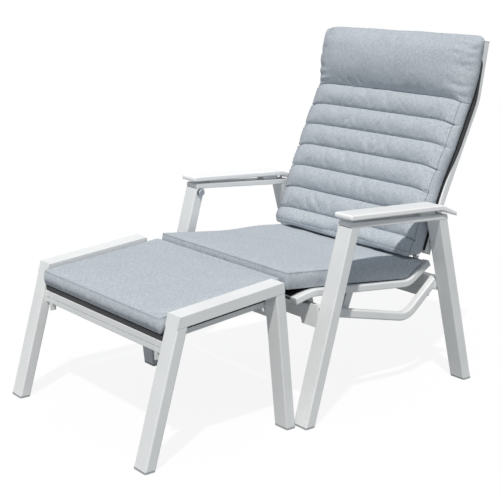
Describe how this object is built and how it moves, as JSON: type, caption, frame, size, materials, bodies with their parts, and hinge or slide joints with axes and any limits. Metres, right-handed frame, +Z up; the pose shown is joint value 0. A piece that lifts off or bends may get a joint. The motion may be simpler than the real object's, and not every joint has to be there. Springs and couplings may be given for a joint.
{
  "type": "reclining garden armchair",
  "caption": "Reclining garden armchair with padded seat, channelled back cushion, hidden linkage and gas strut, and a matching footstool.",
  "frame": {"origin": "on the floor, at the middle of the bounding box of chair and footstool together", "axes": "+Z up, the sitter faces -Y, +X is the sitter's left"},
  "size_m": [0.742, 1.2098, 1.0069],
  "materials": {
    "coated_tube": "white powder coat on aluminium tube",
    "coated_extrusion": "white powder coat on an aluminium extrusion",
    "coated_bracket": "white powder coat on a cast bracket",
    "armrest_coat": "satin white powder coat on a hollow aluminium board",
    "cushion_cloth": "light blue-grey heather weave over foam",
    "sling_mesh": "black woven coated mesh",
    "polished_steel": "polished steel fasteners",
    "strut_steel": "black lacquered strut body and bright rod",
    "foot_plastic": "moulded light grey plastic"
  },
  "bodies": {
    "root": {"front_leg_left": "coated_tube", "front_leg_right": "coated_tube", "rear_leg_left": "coated_tube", "rear_leg_right": "coated_tube", "top_rail_left": "coated_tube", "top_rail_right": "coated_tube", "front_crossbar": "coated_tube", "rear_crossbar": "coated_tube", "rear_lower_bar": "coated_tube", "seat_carrier_left": "coated_tube", "seat_carrier_right": "coated_tube", "corner_brackets": "coated_bracket", "armrest_left": "armrest_coat", "armrest_right": "armrest_coat", "armrest_studs": "polished_steel", "armrest_spacers": "coated_bracket", "armrest_bolts": "polished_steel", "button_bezel": "polished_steel", "chair_foot_glides": "foot_plastic", "back_pivot_studs": "polished_steel", "link_lower_studs": "polished_steel", "strut_front_mount": "coated_bracket"},
    "release_button": {"release_button": "polished_steel"},
    "back": {"back_side_tube_left": "coated_tube", "back_side_tube_right": "coated_tube", "back_top_bar": "coated_tube", "back_lower_bar": "coated_tube", "back_hinge_lugs": "coated_bracket", "back_sling": "sling_mesh", "back_cushion": "cushion_cloth", "headrest_cushion": "cushion_cloth"},
    "seat": {"seat_side_rail_left": "coated_tube", "seat_side_rail_right": "coated_tube", "seat_front_bar": "coated_tube", "seat_rear_bar": "coated_tube", "seat_sling": "sling_mesh", "seat_cushion": "cushion_cloth", "seat_hinge_lugs": "coated_bracket", "seat_hinge_bolts": "polished_steel", "link_upper_studs": "polished_steel", "strut_rear_mount": "coated_bracket"},
    "swing_links": {"swing_link_left": "coated_bracket", "swing_link_right": "coated_bracket"},
    "strut_cylinder": {"strut_cylinder": "strut_steel"},
    "strut_rod": {"strut_rod": "strut_steel"},
    "stool": {"stool_front_leg_left": "coated_tube", "stool_front_leg_right": "coated_tube", "stool_rear_leg_left": "coated_tube", "stool_rear_leg_right": "coated_tube", "stool_top_rail_left": "coated_tube", "stool_top_rail_right": "coated_tube", "stool_front_bar": "coated_extrusion", "stool_rear_bar": "coated_tube", "stool_side_bars": "coated_tube", "stool_sling": "sling_mesh", "stool_end_plates": "coated_bracket", "stool_bolts": "polished_steel", "stool_cushion": "cushion_cloth", "stool_foot_glides": "foot_plastic"}
  },
  "joints": [
    {"name": "recline", "type": "hinge", "parent": "root", "child": "back", "pos_m": [0, 0.40467, 0.4316], "axis": [-1, 0, 0], "range_deg": [-8, 14]},
    {"name": "seat_tilt", "type": "hinge", "parent": "back", "child": "seat", "pos_m": [0, 0.40207, 0.383], "axis": [1, 0, 0], "range_deg": [-7.7, 13.5]},
    {"name": "link_swing", "type": "hinge", "parent": "root", "child": "swing_links", "pos_m": [0, 0.10007, 0.2656], "axis": [1, 0, 0], "range_deg": [-6.6, 11.5]},
    {"name": "strut_swing", "type": "hinge", "parent": "root", "child": "strut_cylinder", "pos_m": [0, 0.01107, 0.288], "axis": [1, 0, 0], "range_deg": [-0.25, 0.4]},
    {"name": "strut_stroke", "type": "slide", "parent": "strut_cylinder", "child": "strut_rod", "axis": [0, 0.999, 0.0446], "range_m": [-0.0125, 0.0072]},
    {"name": "button_press", "type": "slide", "parent": "root", "child": "release_button", "axis": [-1, 0, 0], "range_m": [0, 0.005], "stiffness_N_per_m": 400, "springref_m": -0.002},
    {"name": "stool_slide", "type": "slide", "parent": "root", "child": "stool", "axis": [0, -1, 0], "range_m": [0, 0.5]}
  ],
  "couplings": [
    {"joint": "seat_tilt", "follows": "recline", "ratio": 0.96106},
    {"joint": "link_swing", "follows": "recline", "ratio": 0.81622},
    {"joint": "strut_swing", "follows": "recline", "ratio": 0.02456},
    {"joint": "strut_stroke", "follows": "recline", "m_per_rad": -0.050776}
  ]
}
